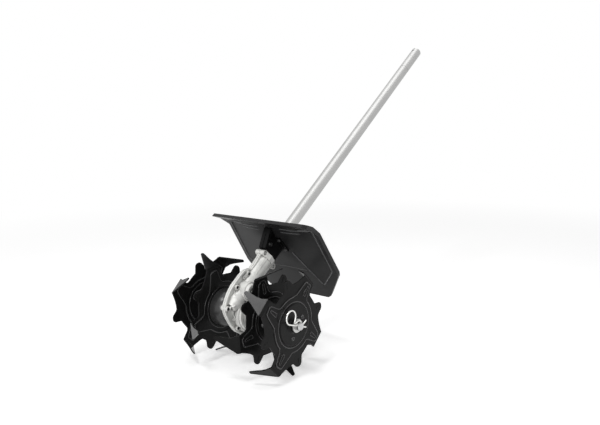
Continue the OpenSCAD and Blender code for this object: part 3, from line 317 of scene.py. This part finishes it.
# %% Helpers that dress a solid
def dress(name, finish, edge=0.0):
    """The solid gets its finish and, where edge isn't 0, edges rounded by edge millimetres."""
    solid = nodes[name]
    solid.data.materials.clear()
    solid.data.materials.append(finish)
    if edge == 0:
        return
    weld = solid.modifiers.new("weld", "WELD")
    weld.merge_threshold = 1e-6
    flat = solid.modifiers.new("flat", "DECIMATE")
    flat.decimate_type = "DISSOLVE"
    flat.angle_limit = math.radians(1.5)
    bevel = solid.modifiers.new("bevel", "BEVEL")
    bevel.width = edge / 1000
    bevel.segments = 2
    bevel.limit_method = "ANGLE"
    bevel.angle_limit = math.radians(24)
    bevel.harden_normals = False
    normals = solid.modifiers.new("normals", "WEIGHTED_NORMAL")
    normals.weight = 80
    normals.keep_sharp = True
    smooth = np.ones(len(solid.data.polygons), dtype=bool)
    solid.data.polygons.foreach_set("use_smooth", smooth)


def both(name):
    """The names of the right and the left piece of a pair."""
    return [f"{name}_{hand}" for _, hand in sides]


# %% Finishes of the outside, with the rounding of the edges in millimetres
outside = [
    (["shaft_tube"], tube_metal, 0.4),
    (["guard"], guard_plastic, 0.9),
    (["guard_bracket"], bracket_plastic, 0.8),
    (both("gear_case"), case_metal, 0.9),
    (both("inner_tine") + both("outer_tine"), tine_steel, 0.5),
    (both("inner_hub") + both("outer_hub"), hub_steel, 0.4),
    (both("dust_cup"), cup_sheen_steel, 0.4),
    (["tine_rivets"], rivet_highlight_steel, 0.3),
    (["tube_clamp_screws", "grease_plug"] + both("end_washer"), small["zinc"], 0.3),
    (["case_screws", "bracket_bolt", "bracket_nut"], small["dark_screw"], 0.3),
    (["guard_screws", "guard_nuts"], small["dark_screw"], 0.3),
    (both("hitch_pin"), small["bright_wire"], 0.2),
    (["axle"], small["ground_steel"], 0.4),
    (["drive_shaft"], small["ground_steel"], 0.2),
]
for names, finish, edge in outside:
    for name in names:
        dress(name, finish, edge)
print("outside solids:", sum(len(names) for names, finish, edge in outside))

# %% Finishes of the inside
bearings = [f"worm_bearing_{kind}" for kind in ["outer_rings", "inner_rings", "balls"]]
inside = {
    "ground_steel": ["worm", "axle_key"] + bearings,
    "bronze": ["worm_wheel", "thrust_washers"] + both("axle_bush"),
    "rubber": ["worm_shaft_seal"] + both("oil_seal"),
    "gasket_paper": ["case_gasket"],
    "nylon": ["drive_shaft_bushes"],
}
for finish, names in inside.items():
    for name in names:
        dress(name, small[finish])
print("inside solids:", sum(len(names) for names in inside.values()))

# %% [markdown]
# A moulding or a pressing is stiffened by beads: low half-round ridges along its creases and
# steps. One could sculpt them into the sheet, but the sheet is finished. A bead is easier as a
# surface of its own: an oval section carried along a path, whose lower half is sunk in the
# sheet, so that only the ridge shows. It fades to nothing at its ends, as a pressed bead does.

# %% A closed surface from a grid
new_pieces = []


def surface(name, grid, finish, body, ring=False):
    """A closed mesh from grid[row, column]: columns wrap round, rows wrap or end in a point."""
    rows, columns = grid.shape[:2]
    index = np.arange(rows * columns).reshape(rows, columns)
    beside = np.roll(index, -1, axis=1)
    beyond = np.roll(beside, -1, axis=0), np.roll(index, -1, axis=0)
    quads = np.stack([index, beside, *beyond], axis=-1)
    last = rows if ring else rows - 1
    faces = quads[:last].reshape(-1, 4).tolist()
    points = grid.reshape(-1, 3)
    if not ring:
        poles = np.full(columns, rows * columns)
        points = np.vstack([points, grid[0].mean(axis=0), grid[-1].mean(axis=0)])
        faces += np.stack([beside[0], index[0], poles], axis=-1).tolist()
        faces += np.stack([index[-1], beside[-1], poles + 1], axis=-1).tolist()
    mesh = bpy.data.meshes.new(name)
    mesh.from_pydata(points.tolist(), [], faces)
    mesh.polygons.foreach_set("use_smooth", np.ones(len(faces), dtype=bool))
    mesh.materials.append(finish)
    piece = bpy.data.objects.new(name, mesh)
    bpy.context.scene.collection.objects.link(piece)
    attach(piece, body)
    new_pieces.append(name)


# %% A smooth path through corners
def way_along(path):
    """For each point, the length of the path up to it."""
    return np.r_[0.0, np.cumsum(np.linalg.norm(np.diff(path, axis=0), axis=1))]


def eased(corners, radius, step, ring=False):
    """Each corner b becomes the curve (1-t)^2 a + 2t(1-t) b + t^2 c, then even steps are taken.

    The points a and c lie radius before and after b, or a little less than half of a side that
    is shorter than that. A path that isn't a ring keeps its two ends.
    """
    curve_points, most_of_side, fewest = 7, 0.45, 8
    b = np.asarray(corners, float)
    to_next = np.roll(b, -1, axis=0) - b
    to_last = np.roll(b, 1, axis=0) - b
    far = np.linalg.norm(to_next, axis=1, keepdims=True)
    near = np.linalg.norm(to_last, axis=1, keepdims=True)
    cut = np.minimum(radius, most_of_side * np.minimum(far, near))
    if not ring:
        cut[[0, -1]] = 0.0
    t = np.linspace(0.0, 1.0, curve_points)[:, None, None]
    a, c = b + cut * to_last / near, b + cut * to_next / far
    curves = (1 - t) ** 2 * a + 2 * t * (1 - t) * b + t ** 2 * c
    path = curves.transpose(1, 0, 2).reshape(-1, b.shape[1])
    if ring:
        path = np.vstack([path, path[:1]])
    run = way_along(path)
    at = np.linspace(0.0, run[-1], max(int(run[-1] / step), fewest), endpoint=not ring)
    return np.stack([np.interp(at, run, path[:, k]) for k in range(b.shape[1])], axis=-1)


# %% A bead along a path
def bead(path, up, width, height, ring=False):
    """Section p + q (side cos a width / 2 + up sin a height), with side across path and up.

    q fades from 1 to 0 over the last width at both ends as the square root of
    1 - (1 - d / width)^2, so that the ends are round. A ring doesn't fade.
    """
    section_points, thinnest = 10, 0.02
    if ring:
        step = np.roll(path, -1, axis=0) - np.roll(path, 1, axis=0)
    else:
        step = np.gradient(path, axis=0)
    step /= np.linalg.norm(step, axis=1, keepdims=True)
    up = np.broadcast_to(np.asarray(up, float), path.shape)
    side = np.cross(step, up)
    side /= np.linalg.norm(side, axis=1, keepdims=True)
    up = np.cross(side, step)
    run = way_along(path)
    near = np.clip(np.minimum(run, run[-1] - run) / width, thinnest, 1.0)
    fade = np.ones(len(path)) if ring else np.sqrt(1 - (1 - near) ** 2)
    a = np.linspace(0.0, 2 * math.pi, section_points, endpoint=False)
    wide = np.cos(a)[:, None] * side[:, None] * width / 2
    high = np.sin(a)[:, None] * up[:, None] * height
    return (path[:, None] + fade[:, None, None] * (wide + high))[:, ::-1]


# %% [markdown]
# A bead has to lie on its sheet everywhere, also where the sheet bends. So a path is drawn on a
# flat plane in front of the solid, and each of its points is dropped onto the solid along one
# direction: the first thing a ray from there meets is the sheet.

# %% Dropping a path onto a solid
@functools.cache
def search_tree(name):
    """A tree of the solid's triangles, which finds quickly what a ray meets."""
    mesh = nodes[name].data
    points = np.empty(3 * len(mesh.vertices), np.float32)
    mesh.vertices.foreach_get("co", points)
    corners = np.empty(len(mesh.loops), np.int32)
    mesh.loops.foreach_get("vertex_index", corners)
    return BVHTree.FromPolygons(points.reshape(-1, 3).tolist(), corners.reshape(-1, 3).tolist())


def dropped(path, name, way, reach=0.4):
    """Each point p moved along way to the first point of the solid on the ray from p - reach way.

    A point whose ray meets nothing is left out.
    """
    tree = search_tree(name)
    way = Vector(way).normalized()
    hits = [tree.ray_cast(Vector(point) - way * reach, way)[0] for point in path]
    return np.array([hit for hit in hits if hit is not None])


def placed(x, n, s):
    """Points axle_at + x axle_way + n across + s tube_way, from lengths in millimetres."""
    x, n, s = (np.asarray(part, float)[..., None] for part in (x, n, s))
    return axle_at + (x * axle_way + n * across + s * tube_way) / 1000


# %% [markdown]
# The guard is one sheet of black plastic, folded into shallow facets. Its creases carry fine
# beads, thin bright lines by their gloss and a painted highlight: one down each side of the
# middle facet, one round each wing just inside the rim, and two under the visor. Their paths are
# drawn in the guard's own plane: x along the axle and n across the shaft, in millimetres.

# %% Beads on the guard
guard_up = 150.0
# Each line has its corners (x, n), and its bead's width and height.
guard_lines = {
    "crease": ([(33, -24), (79, 59)], 2.8, 1.1),
    "wing": ([(76, -90), (111, -90), (116, 19.5), (81, 61)], 2.4, 0.8),
    "upper": ([(28, -88), (102, -88)], 2.2, 1.0),
    "lower": ([(28, -80), (78, -80)], 2.0, 0.9),
}
for label, (corners, width, height) in guard_lines.items():
    for sign, hand in sides:
        x, n = (eased(corners, radius=5.0, step=1.5) * [sign, 1]).T
        path = dropped(placed(x, n, guard_up), "guard", tube_way)
        grid = bead(path, -tube_way, width / 1000, height / 1000)
        surface(f"guard_bead_{label}_{hand}", grid, ridge_highlight_plastic, "frame")
print("new pieces with the guard's:", len(new_pieces))

# %% [markdown]
# Each tine disc is stamped from one sheet: a raised dish with a raised face along each of its
# four arms. The press leaves a round ridge along that step, on both faces of the sheet. The step
# is one closed line, the same on all four discs, so it is drawn once on a flat disc, turned to
# each disc's place and dropped onto both faces.

# %% Lines on a flat disc, as points (up, back) from its middle in millimetres
def circle(radius, points, middle=(0.0, 0.0)):
    """Points middle + radius (cos a, sin a), evenly spaced."""
    a = np.linspace(0.0, 2 * math.pi, points, endpoint=False)
    return np.asarray(middle) + radius * np.stack([np.cos(a), np.sin(a)], axis=-1)


def spun(corners, angle):
    """The points (u, v) turned to (u cos a - v sin a, u sin a + v cos a)."""
    c, s = math.cos(math.radians(angle)), math.sin(math.radians(angle))
    return np.asarray(corners, float) @ np.array([[c, s], [-s, c]])


arms, quarter, rivets, third = 4, 90, 3, 120
dish = 53.4
dish_arc = np.radians(np.linspace(20, 57, 7))
arm = [(48, -24.5), (83, -9.5), (82.5, 7), (56, 10.5), (51.5, 13.5)]
arm += [(dish * math.cos(a), dish * math.sin(a)) for a in dish_arc]
all_arms = np.vstack([spun(arm, quarter * k) for k in range(arms)])
step_line = eased(all_arms, radius=4.0, step=2.0, ring=True)
dish_line = circle(radius=43.5, points=150)
rib_corners = [(57, -5.5), (77.5, -1.8), (77.5, 2.2), (58, 1.8)]
rib_line = eased(rib_corners, radius=2.0, step=1.5, ring=True)
print("step line:", len(step_line), "points")

# %% [markdown]
# The same bead serves for four things on a disc: the ridge on its step, a ring round its dish,
# the oblong outline of the rib on each arm, and the rolled mouths of the three rivets. Only the
# line, the width and the height change.

# %% Beads on the tine discs
def disc_place(flat, turn):
    """Points (up, back) of the flat disc, turned by turn from upright towards the back.

    With t for turn, y is back cos t + up sin t, and z is up cos t - back sin t.
    """
    up, back = flat[:, 0:1], flat[:, 1:2]
    t = math.radians(turn)
    y = back * math.cos(t) + up * math.sin(t)
    z = up * math.cos(t) - back * math.sin(t)
    return axle_at + np.hstack([np.zeros_like(y), y, z]) / 1000


def disc_bead(name, line, turn, solid, way, width, height, finish=ridge_highlight_steel):
    """A closed bead along a line of the flat disc, dropped onto the solid along the axle."""
    toward = np.array([way, 0.0, 0.0])
    path = dropped(disc_place(line, turn), solid, toward)
    grid = bead(path, -toward, width / 1000, height / 1000, ring=True)
    surface(name, grid, finish, "tine_rotor", ring=True)


rivet_circle, first_rivet = 26, 35
disc_turns = {"outer": 32.8, "inner": -17.7}
for label, turn in disc_turns.items():
    for sign, hand in sides:
        disc = f"{label}_tine_{hand}"
        for face, way in [("face", -sign), ("back", sign)]:
            ends = f"{label}_{face}_{hand}"
            disc_bead(f"tine_bead_{ends}", step_line, turn, disc, way, width=2.8, height=0.9)
            disc_bead(f"tine_ring_{ends}", dish_line, turn, disc, way, width=2.4, height=0.8)
        for k in range(arms):
            name = f"tine_rib_{label}_{hand}_{k + 1}"
            line = spun(rib_line, quarter * k)
            disc_bead(name, line, turn, disc, -sign, width=1.6, height=0.7)
        for k in range(rivets):
            name = f"rivet_mouth_{label}_{hand}_{k + 1}"
            a = math.radians(third * k + first_rivet)
            middle = (rivet_circle * math.cos(a), rivet_circle * math.sin(a))
            line = circle(radius=2.5, points=24, middle=middle)
            disc_bead(
                name, line, turn, "tine_rivets", -sign, width=1.7, height=0.6, finish=rivet_highlight_steel
            )
print("new pieces with the discs':", len(new_pieces))

# %% [markdown]
# The case's bosses are tied to its chambers by rounded ribs. The solids have their straight
# cores. A bead along each core gives the round back that a casting has. The paths are drawn
# across and along the tube, and dropped onto each half of the case from its own side.

# %% Ribs on the gear case
# Each rib has its corners (n, s), and its bead's width and height, in millimetres.
case_lines = {
    "boss": ([(-51, -30), (-46.5, -17)], 4.6, 2.2),
    "low": ([(-36, -23), (-26, -29), (-17, -34)], 2.4, 1.4),
    "high": ([(-65, 7.5), (-58, -3)], 2.4, 1.4),
}
for label, (corners, width, height) in case_lines.items():
    for sign, hand in sides:
        toward = np.array([-sign, 0.0, 0.0])
        n, s = eased(corners, radius=3.0, step=1.0).T
        path = dropped(placed(0.0, n, s), f"gear_case_{hand}", toward)
        grid = bead(path, -toward, width / 1000, height / 1000)
        surface(f"case_rib_{label}_{hand}", grid, case_metal, "frame")
print("new pieces with the case's:", len(new_pieces))

# %% [markdown]
# The photograph is a studio shot on white. The floor is one wide sheet of paper. It lies a small
# gap below the lowest point, so that the two surfaces never flicker through each other.

# %% Floor
half_width, gap = 12.0, 0.0006
floor_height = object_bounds()[0][2] - gap
span = half_width * np.array([[-1, -1], [1, -1], [1, 1], [-1, 1]])
floor_mesh = bpy.data.meshes.new("floor")
floor_mesh.from_pydata([(x, y, floor_height) for x, y in span], [], [(0, 1, 2, 3)])
floor = bpy.data.objects.new("floor", floor_mesh)
bpy.context.scene.collection.objects.link(floor)
floor_material, floor_shader = new_material("floor_paint", (0.9, 0.9, 0.9), 0.0, 0.9)
floor.data.materials.append(floor_material)
print("floor at:", round(floor_height, 4))

# %% [markdown]
# White paper in a studio shot is lit a little more than the object. Here the floor keeps its
# plain paint and its shadow, and only to the camera, to gloss and to glass does it add a little
# glow, which grows to full white away from the object.

# %% Helpers for what the camera and gloss see
def seen_rays(tree):
    """A value that is 1 for camera, glossy and transmission rays, and 0 for diffuse light."""
    path = tree.nodes.new("ShaderNodeLightPath")
    value = path.outputs["Is Camera Ray"]
    for other in ["Is Glossy Ray", "Is Transmission Ray"]:
        either = tree.nodes.new("ShaderNodeMath")
        either.operation = "MAXIMUM"
        tree.links.new(value, either.inputs[0])
        tree.links.new(path.outputs[other], either.inputs[1])
        value = either.outputs["Value"]
    return value


def mixed(tree, share, first, second):
    """A mix of two shaders, which is the first where share is 0 and the second where it is 1."""
    mix = tree.nodes.new("ShaderNodeMixShader")
    tree.links.new(share, mix.inputs["Fac"])
    tree.links.new(first, mix.inputs[1])
    tree.links.new(second, mix.inputs[2])
    return mix.outputs["Shader"]


# %% The floor's glow
tree = floor_material.node_tree
where = tree.nodes.new("ShaderNodeTexCoord")
distance = tree.nodes.new("ShaderNodeVectorMath")
distance.operation = "LENGTH"
tree.links.new(where.outputs["Object"], distance.inputs[0])
far = add(floor_material, "ShaderNodeMapRange", From_Min=0.7, From_Max=2.6, To_Min=0.0, To_Max=1.0)
far.interpolation_type = "SMOOTHSTEP"
tree.links.new(distance.outputs["Value"], far.inputs["Value"])
white = (1.0, 1.0, 1.0, 1.0)
paper = add(floor_material, "ShaderNodeEmission", Color=white, Strength=1.0)
glow = add(floor_material, "ShaderNodeEmission", Color=white, Strength=0.4)
lifted = tree.nodes.new("ShaderNodeAddShader")
tree.links.new(floor_shader.outputs["BSDF"], lifted.inputs[0])
tree.links.new(glow.outputs["Emission"], lifted.inputs[1])
bright = mixed(tree, far.outputs["Result"], lifted.outputs["Shader"], paper.outputs["Emission"])
shown = mixed(tree, seen_rays(tree), floor_shader.outputs["BSDF"], bright)
tree.links.new(shown, tree.nodes["Material Output"].inputs["Surface"])

# %% [markdown]
# The bright spots of the photograph tell where the lamps stood: the bent blade in front mirrors a
# place high in front, the light band on the tube mirrors a broad lamp overhead, and the case is
# lit from the front. Three round lamps there give the same shading.

# %% Lamps
def aim(thing, target):
    """Turns a lamp or camera so that it looks at the target."""
    way = Vector(target) - thing.location
    thing.rotation_euler = way.to_track_quat("-Z", "Y").to_euler()


def lamp(name, target, away, size, power):
    """A round lamp of that size, away from the target and aimed at it, of that many watts."""
    data = bpy.data.lights.new(name, "AREA")
    data.shape = "DISK"
    data.size = size
    data.energy = power
    thing = bpy.data.objects.new(name, data)
    bpy.context.scene.collection.objects.link(thing)
    thing.location = target + Vector(away)
    aim(thing, target)


middle = Vector(axle_at) + Vector((0.0, 0.15, 0.15))
lamp("key", middle, away=(0.25, -1.28, 1.84), size=0.5, power=17.0)
lamp("top", middle, away=(0.0, 0.35, 2.35), size=1.9, power=14.0)
lamp("front", middle, away=(1.0, -1.95, 0.4), size=0.9, power=15.0)
print("lamps:", len(bpy.data.lights))

# %% [markdown]
# The world is an even pale grey to diffuse light. The camera and gloss see white paper all
# round instead, so that the metal shows the same background as the picture does.

# %% World
world = bpy.data.worlds.new("studio")
bpy.context.scene.world = world
world.use_nodes = True
tree = world.node_tree
room = tree.nodes["Background"]
room.inputs["Color"].default_value = (0.9, 0.9, 0.9, 1.0)
room.inputs["Strength"].default_value = 0.4
backdrop = tree.nodes.new("ShaderNodeBackground")
backdrop.inputs["Color"].default_value = white
backdrop.inputs["Strength"].default_value = 1.0
shown = mixed(tree, seen_rays(tree), room.outputs["Background"], backdrop.outputs["Background"])
tree.links.new(shown, tree.nodes["World Output"].inputs["Surface"])

# %% [markdown]
# The camera stands where the photograph was taken from. Its place, direction and lens were found
# by fitting the tube's edges, the four discs and the axle to the photograph, so that the render
# lies over it.

# %% Camera
camera_data = bpy.data.cameras.new("camera")
camera_data.sensor_width = 36.0
camera_data.lens = 35.95
camera = bpy.data.objects.new("camera", camera_data)
bpy.context.scene.collection.objects.link(camera)
camera.location = Vector(axle_at) + Vector((0.8078, -0.8319, 0.3625))
azimuth, elevation = math.radians(38.87), math.radians(7.97)
level = math.cos(elevation)
look = Vector((-math.sin(azimuth) * level, math.cos(azimuth) * level, -math.sin(elevation)))
aim(camera, camera.location + look)
bpy.context.scene.camera = camera
bpy.context.scene.view_settings.view_transform = "Standard"
print("camera at:", [round(v, 4) for v in camera.location])
